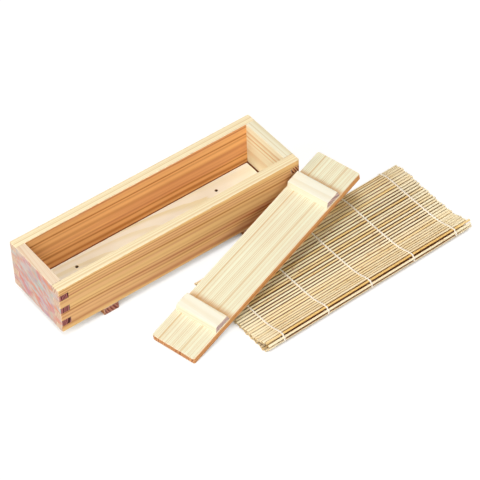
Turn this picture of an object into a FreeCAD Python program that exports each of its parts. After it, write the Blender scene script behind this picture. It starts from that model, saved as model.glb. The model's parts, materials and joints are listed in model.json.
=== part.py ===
import FreeCAD, Part
import math
import os
import Sketcher

# Wooden mould for pressed sushi, laid out on a table: a bottomless finger-jointed frame stands over a
# loose base board with two cross feet, the press board with its two battens lies in front with its far
# end raised, and a bamboo rolling mat lies beside it, folded in two.
# Lengths in mm, +Z up, the table is z = 0, the origin is the middle of the whole set's footprint.

Vector = FreeCAD.Vector
Rotation = FreeCAD.Rotation
Placement = FreeCAD.Placement

os.makedirs("parts", exist_ok=True)
document = FreeCAD.newDocument("pressed_sushi_mould")

# ------------------------------------------------------------------------------------ driving sizes
SIZES = [
    ("frame_length", "264", "frame, outside length"),
    ("frame_width", "77", "frame, outside width"),
    ("frame_height", "52", "frame, height of its boards"),
    ("board_thickness", "10", "frame, thickness of every board"),
    ("finger_edge", "7", "top and bottom fingers of a side board"),
    ("finger_middle", "9", "two middle fingers of a side board"),
    ("finger_end", "=(frame_height - 2 * finger_edge - 2 * finger_middle) / 3", "fingers of an end board"),
    ("corner_round", "1.2", "rounding of the frame's upright corners"),
    ("arris_round", "0.4", "rounding of the other worked arrises"),
    ("foot_width", "16", "cross foot, width"),
    ("foot_height", "8", "cross foot, height"),
    ("foot_left", "-80", "left foot, centre from the frame's centre"),
    ("foot_right", "76", "right foot, centre from the frame's centre"),
    ("base_thickness", "5", "base board, thickness"),
    ("base_end_gap", "1.5", "base board, gap at each end inside the frame"),
    ("base_side_gap", "0.8", "base board, gap at each side inside the frame"),
    ("base_length", "=frame_length - 2 * board_thickness - 2 * base_end_gap", "base board, length"),
    ("base_width", "=frame_width - 2 * board_thickness - 2 * base_side_gap", "base board, width"),
    ("nail_shank", "1.6", "nails, shank diameter"),
    ("nail_head", "3", "nails, head diameter"),
    ("nail_head_thickness", "0.8", "nails, head thickness"),
    ("nail_point", "1.6", "nails, length of the point"),
    ("nail_head_gap", "0.1", "gap between a nail head and the wall of its sinking"),
    ("nail_recess", "=nail_head + 2 * nail_head_gap", "diameter of the sinking over each nail head"),
    ("base_nail_sink", "1.2", "base nails, depth of the head under the board's face"),
    ("base_nail_length", "9", "base nails, length under the head"),
    ("base_nail_half_spacing", "15.5", "base nails, distance from the foot's middle"),
    ("press_end_gap", "1.5", "press board, gap at each end when it is inside the frame"),
    ("press_side_gap", "4.5", "press board, gap at each side when it is inside the frame"),
    ("press_length", "=frame_length - 2 * board_thickness - 2 * press_end_gap", "press board, length"),
    ("press_width", "=frame_width - 2 * board_thickness - 2 * press_side_gap", "press board, width"),
    ("press_thickness", "7", "press board, thickness"),
    ("press_corner", "1.8", "press board, rounding of its corners in plan"),
    ("batten_height", "6", "battens, height"),
    ("batten_top", "15", "battens, width at the top"),
    ("batten_slope", "2", "battens, how far each flank slopes out"),
    ("batten_bottom", "=batten_top + 2 * batten_slope", "battens, width at the board"),
    ("batten_inset", "1", "battens, set back from the board's sides"),
    ("batten_round", "1.2", "battens, rounding of the top arrises"),
    ("batten_near", "42", "near batten, centre from the board's near end"),
    ("batten_far", "38.5", "far batten, centre from the board's far end"),
    ("press_nail_length", "9.7", "press nails, length under the head"),
    ("press_nail_half_spacing", "12", "press nails, distance from the board's middle line"),
    ("press_yaw", "13.7", "press board, turn in plan from the frame's length, degrees"),
    ("press_pitch", "10.21", "press board, rise of its far end, degrees"),
    ("press_near", "-71.83", "press board, near left corner, along the frame"),
    ("press_frame_gap", "0.66", "press board, gap between its left side and the frame's corner"),
    ("slat_length", "238", "mat, slat length"),
    ("slat_width", "2.45", "mat, slat width"),
    ("slat_thickness", "1.6", "mat, slat thickness"),
    ("slat_round", "0.5", "mat, rounding of a slat's long arrises"),
    ("slat_gap", "0.88", "mat, gap between slats"),
    ("slat_pitch", "=slat_width + slat_gap", "mat, distance from slat to slat"),
    ("slat_ragged", "1.3", "mat, how far slat ends vary"),
    ("string_width", "1.1", "mat, string width along the slats"),
    ("string_thickness", "0.25", "mat, string thickness over a slat"),
    ("string_clearance", "0.04", "mat, clearance between string and slat"),
    ("string_first", "20.5", "mat, first string from the slats' left end"),
    ("string_spacing", "50", "mat, string to string"),
    ("string_count", "5", "mat, number of strings"),
    ("mat_near_x", "-3.5", "mat, near left corner, along the frame"),
    ("mat_near_y", "-165.5", "mat, near left corner, across the frame"),
    ("mat_yaw", "1.2", "mat, turn in plan from the frame's length, degrees"),
    ("mat_skew", "1.2", "mat, slant of its slat ends, degrees"),
    ("fold_height", "8.8", "mat, height of the slat centres over the fold"),
    ("fold_depth", "5", "mat, where the fold's curve starts, from its near edge"),
    ("fold_shift", "2.2", "mat, how far the fold's slats stand out to the right"),
    ("lower_edge", "91", "mat, free edge of the lower layer, from its near edge"),
    ("edge_lift", "0.05", "mat, gap between the free edge's last string loop and the table"),
    ("edge_slats", "3", "mat, slats in each hinged section of the free edge"),
]

sizes = document.addObject("Spreadsheet::Sheet", "sizes")
for row, (alias, value, meaning) in enumerate(SIZES, start=1):
    sizes.set("A%d" % row, meaning)
    sizes.set("B%d" % row, value)
    sizes.setAlias("B%d" % row, alias)
document.recompute()


def size(name):
    """Value of one named size."""
    return float(sizes.get(name))


# --------------------------------------------------------------------------------- building helpers
def measure(thing, expression):
    """Number that an expression of named sizes gives."""
    result = thing.evalExpression(expression)
    return float(getattr(result, "Value", result))


def plane(body, role):
    """One of the body's own origin planes."""
    return [item for item in body.Origin.OriginFeatures if item.Role == role][0]


def new_body(name):
    body = document.addObject("PartDesign::Body", name)
    body.Label = name
    return body


def new_sketch(body, name, role, offset="0"):
    """Sketch on an origin plane, raised along the plane's normal by an expression."""
    sketch = body.newObject("Sketcher::SketchObject", name)
    sketch.AttachmentSupport = [(plane(body, role), "")]
    sketch.MapMode = "FlatFace"
    if offset != "0":
        sketch.setExpression("AttachmentOffset.Base.z", offset)
    document.recompute()
    return sketch


def distance(sketch, kind, first, second, expression):
    """Dimension between two sketch points, held to an expression."""
    index = sketch.addConstraint(Sketcher.Constraint(kind, *first, *second, measure(sketch, expression)))
    sketch.setExpression("Constraints[%d]" % index, expression)


def polygon(sketch, corners):
    """Closed outline; every corner is a pair of expressions, measured from the sketch's origin."""
    first = sketch.GeometryCount
    points = [Vector(measure(sketch, across), measure(sketch, along), 0) for across, along in corners]
    for index, point in enumerate(points):
        sketch.addGeometry(Part.LineSegment(point, points[(index + 1) % len(points)]), False)
    for index in range(len(points)):
        following = first + (index + 1) % len(points)
        sketch.addConstraint(Sketcher.Constraint("Coincident", first + index, 2, following, 1))
    for index, (across, along) in enumerate(corners):
        distance(sketch, "DistanceX", (-1, 1), (first + index, 1), across)
        distance(sketch, "DistanceY", (-1, 1), (first + index, 1), along)


def rectangle(sketch, left, bottom, right, top):
    polygon(sketch, [(left, bottom), (right, bottom), (right, top), (left, top)])


def circle(sketch, across, along, radius):
    centre = Vector(measure(sketch, across), measure(sketch, along), 0)
    index = sketch.addGeometry(Part.Circle(centre, Vector(0, 0, 1), measure(sketch, radius)), False)
    distance(sketch, "DistanceX", (-1, 1), (index, 3), across)
    distance(sketch, "DistanceY", (-1, 1), (index, 3), along)
    constraint = sketch.addConstraint(Sketcher.Constraint("Radius", index, measure(sketch, radius)))
    sketch.setExpression("Constraints[%d]" % constraint, radius)


def pad(body, name, sketch, length, reverse=False):
    feature = body.newObject("PartDesign::Pad", name)
    feature.Profile = sketch
    feature.Reversed = reverse
    feature.setExpression("Length", length)
    document.recompute()
    return feature


def pocket(body, name, sketch, length=None, reverse=False):
    """Cut a sketch into the body, to a depth or right through it."""
    before = body.Shape.Volume
    feature = body.newObject("PartDesign::Pocket", name)
    feature.Profile = sketch
    feature.Reversed = reverse
    if length is None:
        feature.Type = "ThroughAll"
    else:
        feature.setExpression("Length", length)
    document.recompute()
    if body.Shape.Volume >= before - 0.1:
        raise RuntimeError("pocket %s of %s cuts nothing" % (name, body.Label))
    return feature


def mirror(body, name, original, role):
    feature = body.newObject("PartDesign::Mirrored", name)
    feature.Originals = [original]
    feature.MirrorPlane = (plane(body, role), [""])
    body.Tip = feature
    document.recompute()
    return feature


def round_edges(body, name, wanted, radius):
    """Fillet every edge whose middle and two ends pass the test."""
    shape = body.Shape
    names = []
    for index, edge in enumerate(shape.Edges, start=1):
        middle = edge.valueAt((edge.FirstParameter + edge.LastParameter) / 2)
        points = [vertex.Point for vertex in edge.Vertexes] + [middle]
        if all(wanted(point) for point in points):
            names.append("Edge%d" % index)
    if not names:
        raise RuntimeError("no edge for %s of %s" % (name, body.Label))
    before = body.Shape.Volume
    base = body.Tip
    feature = body.newObject("PartDesign::Fillet", name)
    feature.Base = (base, names)
    feature.setExpression("Radius", radius)
    body.Tip = feature
    document.recompute()
    if body.Shape.Volume >= before - 0.01:
        raise RuntimeError("fillet %s of %s rounds nothing" % (name, body.Label))
    return feature


def near(value, target):
    return abs(value - target) < 0.01


# ------------------------------------------------------------------------------- frame: finger joints
# Heights of the three end board fingers above the frame's lower edge.
FINGER_BOTTOMS = [
    "sizes.finger_edge",
    "sizes.finger_edge + sizes.finger_end + sizes.finger_middle",
    "sizes.finger_edge + 2 * sizes.finger_end + 2 * sizes.finger_middle",
]
HALF_LENGTH = "sizes.frame_length / 2"
HALF_WIDTH = "sizes.frame_width / 2"


def round_frame_board(body, across, outer):
    """Ease the outer upright corners, then the upper and lower outer arrises and the inner rim arris."""
    half = size("frame_length" if across == "x" else "frame_width") / 2
    top = size("frame_height")
    inner = outer + math.copysign(size("board_thickness"), -outer) if outer else size("board_thickness")

    def along(point):
        return getattr(point, across)

    def depth(point):
        return point.y if across == "x" else point.x

    round_edges(
        body, "upright_corners",
        lambda point: near(abs(along(point)), half) and near(depth(point), outer),
        "sizes.corner_round",
    )
    round_edges(
        body, "outer_arrises",
        lambda point: (near(point.z, top) or near(point.z, 0)) and (
            near(depth(point), outer)
            or near(abs(along(point)), half)
            or abs(along(point)) > half - size("corner_round") and abs(depth(point) - outer) < size("corner_round")
        ),
        "sizes.arris_round",
    )
    round_edges(
        body, "rim_arris",
        lambda point: near(point.z, top) and near(depth(point), inner),
        "sizes.arris_round",
    )


def side_board(name, placement):
    """Long board: a full-length blank with three notches at each end for the end board's fingers."""
    body = new_body(name)
    blank = new_sketch(body, "blank", "XZ_Plane")
    rectangle(blank, "-" + HALF_LENGTH, "0", HALF_LENGTH, "sizes.frame_height")
    pad(body, "board", blank, "sizes.board_thickness")
    notches = new_sketch(body, "notches", "XZ_Plane")
    for bottom in FINGER_BOTTOMS:
        rectangle(
            notches, "-" + HALF_LENGTH, bottom,
            "-" + HALF_LENGTH + " + sizes.board_thickness", bottom + " + sizes.finger_end",
        )
    cut = pocket(body, "notches_left", notches, reverse=True)
    mirror(body, "notches_right", cut, "YZ_Plane")
    round_frame_board(body, "x", -size("board_thickness"))
    body.Placement = placement
    return body


def end_board(name, placement):
    """Short board: three fingers at each end reach through the side boards."""
    body = new_body(name)
    blank = new_sketch(body, "blank", "YZ_Plane")
    rectangle(blank, "-" + HALF_WIDTH, "0", HALF_WIDTH, "sizes.frame_height")
    pad(body, "board", blank, "sizes.board_thickness")
    notches = new_sketch(body, "notches", "YZ_Plane")
    low = "0"
    for bottom in FINGER_BOTTOMS:
        rectangle(notches, "-" + HALF_WIDTH, low, "-" + HALF_WIDTH + " + sizes.board_thickness", bottom)
        low = bottom + " + sizes.finger_end"
    rectangle(notches, "-" + HALF_WIDTH, low, "-" + HALF_WIDTH + " + sizes.board_thickness", "sizes.frame_height")
    cut = pocket(body, "notches_front", notches, reverse=True)
    mirror(body, "notches_back", cut, "XZ_Plane")
    round_frame_board(body, "y", 0)
    body.Placement = placement
    return body


half_turn = Rotation(Vector(0, 0, 1), 180)
frame_bottom = size("foot_height")
side_inner = size("frame_width") / 2 - size("board_thickness")
end_outer = size("frame_length") / 2
side_board_front = side_board("side_board_front", Placement(Vector(0, -side_inner, frame_bottom), Rotation()))
side_board_back = side_board("side_board_back", Placement(Vector(0, side_inner, frame_bottom), half_turn))
end_board_left = end_board("end_board_left", Placement(Vector(-end_outer, 0, frame_bottom), Rotation()))
end_board_right = end_board("end_board_right", Placement(Vector(end_outer, 0, frame_bottom), half_turn))

# ---------------------------------------------------------------------------- base board and two feet
NAIL_RADIUS = "sizes.nail_shank / 2"
RECESS_RADIUS = "sizes.nail_recess / 2"
BASE_NAIL_Y = "sizes.base_nail_half_spacing"


def nail_circles(sketch, centres, radius):
    for across, along in centres:
        circle(sketch, across, along, radius)


base_nail_centres = [
    (foot, sign + BASE_NAIL_Y)
    for foot in ("sizes.foot_left", "sizes.foot_right")
    for sign in ("-", "")
]
base_board = new_body("base_board")
outline = new_sketch(base_board, "outline", "XY_Plane")
rectangle(outline, "-sizes.base_length / 2", "-sizes.base_width / 2", "sizes.base_length / 2", "sizes.base_width / 2")
pad(base_board, "board", outline, "sizes.base_thickness")
base_half_length = size("base_length") / 2
base_half_width = size("base_width") / 2
base_top = size("base_thickness")
round_edges(
    base_board, "arrises",
    lambda point: near(point.z, base_top),
    "sizes.arris_round",
)
sinkings = new_sketch(base_board, "sinkings", "XY_Plane", "sizes.base_thickness")
nail_circles(sinkings, base_nail_centres, RECESS_RADIUS)
pocket(base_board, "nail_sinkings", sinkings, "sizes.base_nail_sink + sizes.nail_head_thickness")
shanks = new_sketch(base_board, "shanks", "XY_Plane", "sizes.base_thickness")
nail_circles(shanks, base_nail_centres, NAIL_RADIUS)
pocket(base_board, "nail_holes", shanks)
base_board.Placement = Placement(Vector(0, 0, size("foot_height")), Rotation())

# Depth that a base nail reaches into its foot.
NAIL_IN_FOOT = (
    "sizes.base_nail_length + sizes.base_nail_sink + sizes.nail_head_thickness - sizes.base_thickness"
)


def foot(name, centre):
    """Cross foot as long as the frame is wide, with two nail holes in its top."""
    body = new_body(name)
    outline = new_sketch(body, "outline", "XY_Plane")
    rectangle(outline, "-sizes.foot_width / 2", "-" + HALF_WIDTH, "sizes.foot_width / 2", HALF_WIDTH)
    pad(body, "batten", outline, "sizes.foot_height")
    half_width = size("foot_width") / 2
    half_length = size("frame_width") / 2
    round_edges(
        body, "upright_corners",
        lambda point: near(abs(point.x), half_width) and near(abs(point.y), half_length),
        "2 * sizes.arris_round",
    )
    holes = new_sketch(body, "holes", "XY_Plane", "sizes.foot_height")
    nail_circles(holes, [("0", "-" + BASE_NAIL_Y), ("0", BASE_NAIL_Y)], NAIL_RADIUS)
    pocket(body, "nail_holes", holes, NAIL_IN_FOOT)
    body.Placement = Placement(Vector(centre, 0, 0), Rotation())
    return body


foot_left = foot("foot_left", size("foot_left"))
foot_right = foot("foot_right", size("foot_right"))


def nails(name, length, places, turn, placement):
    """Group of equal nails; every place is where the underside of a head lies, points along turn's -Z."""
    group = []
    for number, place in enumerate(places, start=1):
        head = document.addObject("Part::Cylinder", "%s_head_%d" % (name, number))
        head.setExpression("Radius", "sizes.nail_head / 2")
        head.setExpression("Height", "sizes.nail_head_thickness")
        shank = document.addObject("Part::Cylinder", "%s_shank_%d" % (name, number))
        shank.setExpression("Radius", NAIL_RADIUS)
        shank.setExpression("Height", "%s - sizes.nail_point" % length)
        shank.setExpression("Placement.Base.z", "sizes.nail_point - %s" % length)
        point = document.addObject("Part::Cone", "%s_point_%d" % (name, number))
        point.setExpression("Radius1", "0")
        point.setExpression("Radius2", NAIL_RADIUS)
        point.setExpression("Height", "sizes.nail_point")
        point.setExpression("Placement.Base.z", "-%s" % length)
        nail = document.addObject("Part::MultiFuse", "%s_%d" % (name, number))
        nail.Shapes = [head, shank, point]
        nail.Placement = Placement(place, turn)
        group.append(nail)
    compound = document.addObject("Part::Compound", name)
    compound.Links = group
    compound.Placement = placement
    compound.Label = name
    document.recompute()
    return compound


head_underside = size("foot_height") + size("base_thickness") - size("base_nail_sink") - size("nail_head_thickness")
base_nails = nails(
    "base_nails", "sizes.base_nail_length",
    [
        Vector(centre, side * size("base_nail_half_spacing"), head_underside)
        for centre in (size("foot_left"), size("foot_right"))
        for side in (-1, 1)
    ],
    Rotation(), Placement(),
)

# ------------------------------------------------------------------------- press board and its battens
# Own frame of the press: x from the near end to the far end, the board's left side at y = 0, its right
# side at y = -press_width, its top face at z = 0. The pose turns it in plan and raises the far end.
press_turn = Rotation(Vector(0, 0, 1), size("press_yaw")) * Rotation(Vector(0, 1, 0), -size("press_pitch"))
pitch = math.radians(size("press_pitch"))
yaw = math.radians(size("press_yaw"))
# The near end rests on the table on its rounded lower arris.
arris_rise = size("arris_round") * (1 - math.sin(pitch) - math.cos(pitch))
# The left side passes the rounded front right corner of the frame at the named gap.
corner_x = size("frame_length") / 2 - size("corner_round") - size("press_near")
corner_y = size("corner_round") - size("frame_width") / 2
side_gap = size("corner_round") + size("press_frame_gap")
press_near_y = corner_y - (corner_x * math.sin(yaw) + side_gap) / math.cos(yaw)
press_pose = Placement(
    Vector(size("press_near"), press_near_y, size("press_thickness") * math.cos(pitch) + arris_rise),
    press_turn,
)
press_nail_centres = [
    (along, "-sizes.press_width / 2 %s sizes.press_nail_half_spacing" % sign)
    for along in ("sizes.batten_near", "sizes.press_length - sizes.batten_far")
    for sign in ("-", "+")
]
press_board = new_body("press_board")
outline = new_sketch(press_board, "outline", "XY_Plane")
rectangle(outline, "0", "-sizes.press_width", "sizes.press_length", "0")
pad(press_board, "board", outline, "sizes.press_thickness", reverse=True)
press_x = size("press_length")
press_y = -size("press_width")
press_z = -size("press_thickness")
round_edges(
    press_board, "corners",
    lambda point: (near(point.x, 0) or near(point.x, press_x)) and (near(point.y, 0) or near(point.y, press_y)),
    "sizes.press_corner",
)
round_edges(
    press_board, "arrises",
    lambda point: near(point.z, 0) or near(point.z, press_z),
    "sizes.arris_round",
)
sinkings = new_sketch(press_board, "sinkings", "XY_Plane", "-sizes.press_thickness")
nail_circles(sinkings, press_nail_centres, RECESS_RADIUS)
pocket(press_board, "nail_sinkings", sinkings, "sizes.nail_head_thickness", reverse=True)
shanks = new_sketch(press_board, "shanks", "XY_Plane")
nail_circles(shanks, press_nail_centres, NAIL_RADIUS)
pocket(press_board, "nail_holes", shanks)
press_board.Placement = press_pose

NAIL_IN_BATTEN = "sizes.press_nail_length + sizes.nail_head_thickness - sizes.press_thickness"


def batten(name, centre):
    """Cross batten with sloping flanks: a finger hold on each side, nailed from under the board."""
    body = new_body(name)
    section = new_sketch(body, "section", "XZ_Plane")
    polygon(section, [
        ("-sizes.batten_bottom / 2", "0"),
        ("sizes.batten_bottom / 2", "0"),
        ("sizes.batten_top / 2", "sizes.batten_height"),
        ("-sizes.batten_top / 2", "sizes.batten_height"),
    ])
    pad(body, "batten", section, "sizes.press_width - 2 * sizes.batten_inset")
    half_top = size("batten_top") / 2
    height = size("batten_height")
    round_edges(
        body, "top_arrises",
        lambda point: near(abs(point.x), half_top) and near(point.z, height),
        "sizes.batten_round",
    )
    length = size("press_width") - 2 * size("batten_inset")
    round_edges(
        body, "end_arrises",
        lambda point: (near(point.y, 0) or near(point.y, -length)) and point.z > 0.01,
        "sizes.arris_round",
    )
    holes = new_sketch(body, "holes", "XY_Plane")
    middle = "sizes.batten_inset - sizes.press_width / 2"
    nail_circles(holes, [("0", middle + sign + "sizes.press_nail_half_spacing") for sign in (" - ", " + ")], NAIL_RADIUS)
    pocket(body, "nail_holes", holes, NAIL_IN_BATTEN, reverse=True)
    body.Placement = press_pose * Placement(Vector(centre, -size("batten_inset"), 0), Rotation())
    return body


near_centre = size("batten_near")
far_centre = size("press_length") - size("batten_far")
press_batten_near = batten("press_batten_near", near_centre)
press_batten_far = batten("press_batten_far", far_centre)
press_nails = nails(
    "press_nails", "sizes.press_nail_length",
    [
        Vector(
            centre,
            -size("press_width") / 2 + side * size("press_nail_half_spacing"),
            -size("press_thickness") + size("nail_head_thickness"),
        )
        for centre in (near_centre, far_centre)
        for side in (-1, 1)
    ],
    Rotation(Vector(1, 0, 0), 180), press_pose,
)

# ------------------------------------------------------------------------------- folded bamboo mat
# Own frame of the mat: x along the slats from their left end, y from the near edge away, z up.
# The slat centres follow one line: from the free edge of the upper layer, where the last slats come down
# to the table over the lower layer's edge, forward over the lower layer, round the fold at the near
# edge and back along the table.
half_slat_width = size("slat_width") / 2
half_slat_thickness = size("slat_thickness") / 2
string_cover = size("string_thickness") + size("string_clearance")
lower_height = half_slat_thickness + string_cover
upper_height = 3 * lower_height + size("string_clearance")
fold_start = size("fold_depth")
fold_height = size("fold_height")
# The last slat of the upper layer leans on the table: height of its middle at its slope.
edge_slope = math.radians(32)
edge_rest = (
    (half_slat_width - size("slat_round")) * math.sin(edge_slope)
    + (half_slat_thickness - size("slat_round")) * math.cos(edge_slope)
    + size("slat_round") + string_cover + size("edge_lift")
)
upper_line = [
    Vector(0, 106.3, edge_rest),
    Vector(0, 103.3, lower_height + 1.96),
    Vector(0, 100.1, lower_height + 3.06),
    Vector(0, 96.8, upper_height + 1.44),
    Vector(0, 91, upper_height + 1.79),
    Vector(0, 83, upper_height + 1.44),
    Vector(0, 75, upper_height + 0.89),
    Vector(0, 60, upper_height + 0.29),
    Vector(0, 46, upper_height),
    Vector(0, 34, upper_height),
    Vector(0, 26, upper_height + 0.34),
    Vector(0, 19, upper_height + 1.49),
    Vector(0, 13, upper_height + 3.39),
    Vector(0, 9, upper_height + 4.79),
    Vector(0, fold_start + 2, fold_height - 0.2),
    Vector(0, fold_start, fold_height),
]
upper_curve = Part.BSplineCurve()
upper_curve.interpolate(upper_line)
fold_radius = (fold_height - lower_height) / 2
fold_middle = Vector(0, fold_start - fold_radius, lower_height + fold_radius)
fold_bottom = Vector(0, fold_start, lower_height)
mat_line = [
    upper_curve.toShape(),
    Part.Arc(upper_line[-1], fold_middle, fold_bottom).toShape(),
    Part.LineSegment(fold_bottom, Vector(0, size("lower_edge"), lower_height)).toShape(),
]


def along_mat(distance_from_edge):
    """Point and direction of the mat's centre line at a distance from the upper layer's free edge."""
    for edge in mat_line[:-1]:
        if distance_from_edge < edge.Length:
            break
        distance_from_edge -= edge.Length
    else:
        edge = mat_line[-1]
    parameter = edge.getParameterByLength(distance_from_edge)
    return edge.valueAt(parameter), edge.tangentAt(parameter)


def rounded_block(half_width, half_thickness, radius, start, end):
    """Bar along x with a rounded section, centred on the x axis."""
    flat = half_width - radius
    high = half_thickness - radius
    diagonal = radius * math.sqrt(0.5)
    edges = []
    for across, up in ((1, 1), (-1, 1), (-1, -1), (1, -1)):
        centre = Vector(start, across * flat, up * high)
        side = centre + Vector(0, across * radius, 0)
        middle = centre + Vector(0, across * diagonal, up * diagonal)
        cap = centre + Vector(0, 0, up * radius)
        ends = (side, cap) if across == up else (cap, side)
        edges.append((Part.Arc(ends[0], middle, ends[1]).toShape(), ends))
    outline = []
    for index, (arc, ends) in enumerate(edges):
        outline.append(arc)
        outline.append(Part.LineSegment(ends[1], edges[(index + 1) % 4][1][0]).toShape())
    face = Part.Face(Part.Wire(outline))
    return face.extrude(Vector(end - start, 0, 0))


class Slat:
    """One slat of the mat: where it lies and the shapes that belong to it."""

    def __init__(self, number):
        self.centre, direction = along_mat(number * size("slat_pitch"))
        self.slope = math.degrees(math.atan2(-direction.z, -direction.y))
        self.pose = Placement(self.centre, Rotation(Vector(1, 0, 0), self.slope))
        near_fold = self.centre.y < fold_start + 0.6 * size("slat_pitch")
        on_fold = near_fold and self.centre.z > 0.6 * fold_radius
        slant = self.centre.y * math.tan(math.radians(size("mat_skew")))
        shift = slant + (size("fold_shift") if on_fold else 0)
        self.start = shift + size("slat_ragged") * (number * 3 % 7) / 6
        self.end = shift + size("slat_length") - size("slat_ragged") * (number * 5 % 7) / 6

    def solid(self):
        bar = rounded_block(half_slat_width, half_slat_thickness, size("slat_round"), self.start, self.end)
        bar.Placement = self.pose
        return bar

    def sleeve(self, grow, half_length):
        """The slat's section grown on all sides, as long as the string is wide."""
        block = rounded_block(
            half_slat_width + grow, half_slat_thickness + grow, size("slat_round") + grow,
            -half_length, half_length,
        )
        block.Placement = self.pose
        return block


def twist(first, second):
    """Bit of string in the gap between two neighbouring slats."""
    half = size("string_width") / 2
    height = 2 * size("string_thickness")
    span = second.centre - first.centre
    length = span.Length - 2 * (half_slat_width + size("string_clearance") + size("string_thickness") / 2)
    box = Part.makeBox(2 * half, length, height, Vector(-half, -length / 2, -height / 2))
    angle = math.degrees(math.atan2(span.z, span.y))
    box.Placement = Placement((first.centre + second.centre) / 2, Rotation(Vector(1, 0, 0), angle))
    return box


def string_run(run, following=None):
    """One string over a run of slats: a loop round every slat, twisted between neighbours.

    With a following slat the last twist reaches the loop round that slat and ends on it.
    """
    half = size("string_width") / 2
    loops = [slat.sleeve(string_cover, half) for slat in run]
    twists = [twist(first, second) for first, second in zip(run, run[1:])]
    removals = [slat.sleeve(size("string_clearance"), 2 * half) for slat in run]
    if following:
        twists.append(twist(run[-1], following))
        removals.append(following.sleeve(string_cover, 2 * half))
    solid = loops[0].multiFuse(loops[1:] + twists)
    return solid.cut(removals).removeSplitter()


total_length = sum(edge.Length for edge in mat_line)
slat_count = int(total_length / size("slat_pitch")) + 1
slats = [Slat(number) for number in range(slat_count)]
section = int(size("edge_slats"))
edge_runs = [slats[0:section], slats[section:2 * section], slats[2 * section:3 * section]]
main_run = slats[3 * section:]
upper_run = [slat for slat in main_run if slat.slope < 20 and slat.slope > -60]
lower_run = [slat for slat in main_run if abs(slat.slope) > 170]
fold_run = [slat for slat in main_run if slat not in upper_run and slat not in lower_run]
mat_pose = Placement(
    Vector(size("mat_near_x"), size("mat_near_y"), 0), Rotation(Vector(0, 0, 1), size("mat_yaw")),
)


def mat_part(name, shapes):
    feature = document.addObject("Part::Feature", name)
    feature.Shape = Part.makeCompound(shapes)
    feature.Placement = mat_pose
    feature.Label = name
    return feature


def mat_strings(name, run, following=None):
    """The same string at every string position."""
    pattern = string_run(run, following)
    copies = []
    for number in range(int(size("string_count"))):
        for solid in pattern.Solids:
            copy = solid.copy()
            copy.translate(Vector(size("string_first") + number * size("string_spacing"), 0, 0))
            copies.append(copy)
    return mat_part(name, copies)


mat_parts = [
    mat_part("mat_slats_upper", [slat.solid() for slat in upper_run]),
    mat_part("mat_slats_fold", [slat.solid() for slat in fold_run]),
    mat_part("mat_slats_lower", [slat.solid() for slat in lower_run]),
    mat_strings("mat_strings_upper", upper_run + fold_run, lower_run[0]),
    mat_strings("mat_strings_lower", lower_run),
]
for number, run in enumerate(reversed(edge_runs), start=1):
    mat_parts.append(mat_part("mat_slats_edge_%d" % number, [slat.solid() for slat in run]))
    mat_parts.append(mat_strings("mat_strings_edge_%d" % number, run))

# --------------------------------------------------------------------------------- origin and checks
document.recompute()
nodes = [
    side_board_front, side_board_back, end_board_left, end_board_right,
    base_board, foot_left, foot_right, base_nails,
    press_board, press_batten_near, press_batten_far, press_nails,
] + mat_parts
whole = FreeCAD.BoundBox()
for node in nodes:
    whole.add(node.Shape.optimalBoundingBox(True, False))
shift = Placement(Vector(-whole.Center.x, -whole.Center.y, 0), Rotation())
for node in nodes:
    node.Placement = shift * node.Placement
document.recompute()

for thing in document.Objects:
    if "Invalid" in thing.State or "Error" in thing.State:
        raise RuntimeError("%s is in state %s" % (thing.Label, thing.State))
for node in nodes:
    if node.Shape.isNull() or not node.Shape.isValid() or not node.Shape.Solids:
        raise RuntimeError("%s has no valid solid" % node.Label)
for node in nodes:
    node.Shape.exportStep("parts/%s.step" % node.Label)

print("origin moved by %.4f %.4f, lowest point %.4f" % (shift.Base.x, shift.Base.y, whole.ZMin))
print("size %.2f x %.2f x %.2f" % (whole.XLength, whole.YLength, whole.ZLength))
print("slats: %s" % ", ".join("%.1f %.1f %.0f" % (slat.centre.y, slat.centre.z, slat.slope) for slat in slats))
print("runs: upper %d, fold %d, lower %d" % (len(upper_run), len(fold_run), len(lower_run)))
# Hinges of the free edge: halfway between the slats on either side of each gap.
for number in range(3):
    outer = slats[(3 - number) * section - 1]
    inner = slats[(3 - number) * section]
    middle = shift * (mat_pose * Placement((outer.centre + inner.centre) / 2, Rotation()))
    print("hinge %d at %.6f %.6f %.6f" % (number + 1, middle.Base.x, middle.Base.y, middle.Base.z))
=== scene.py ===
import json
import math
import random

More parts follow.
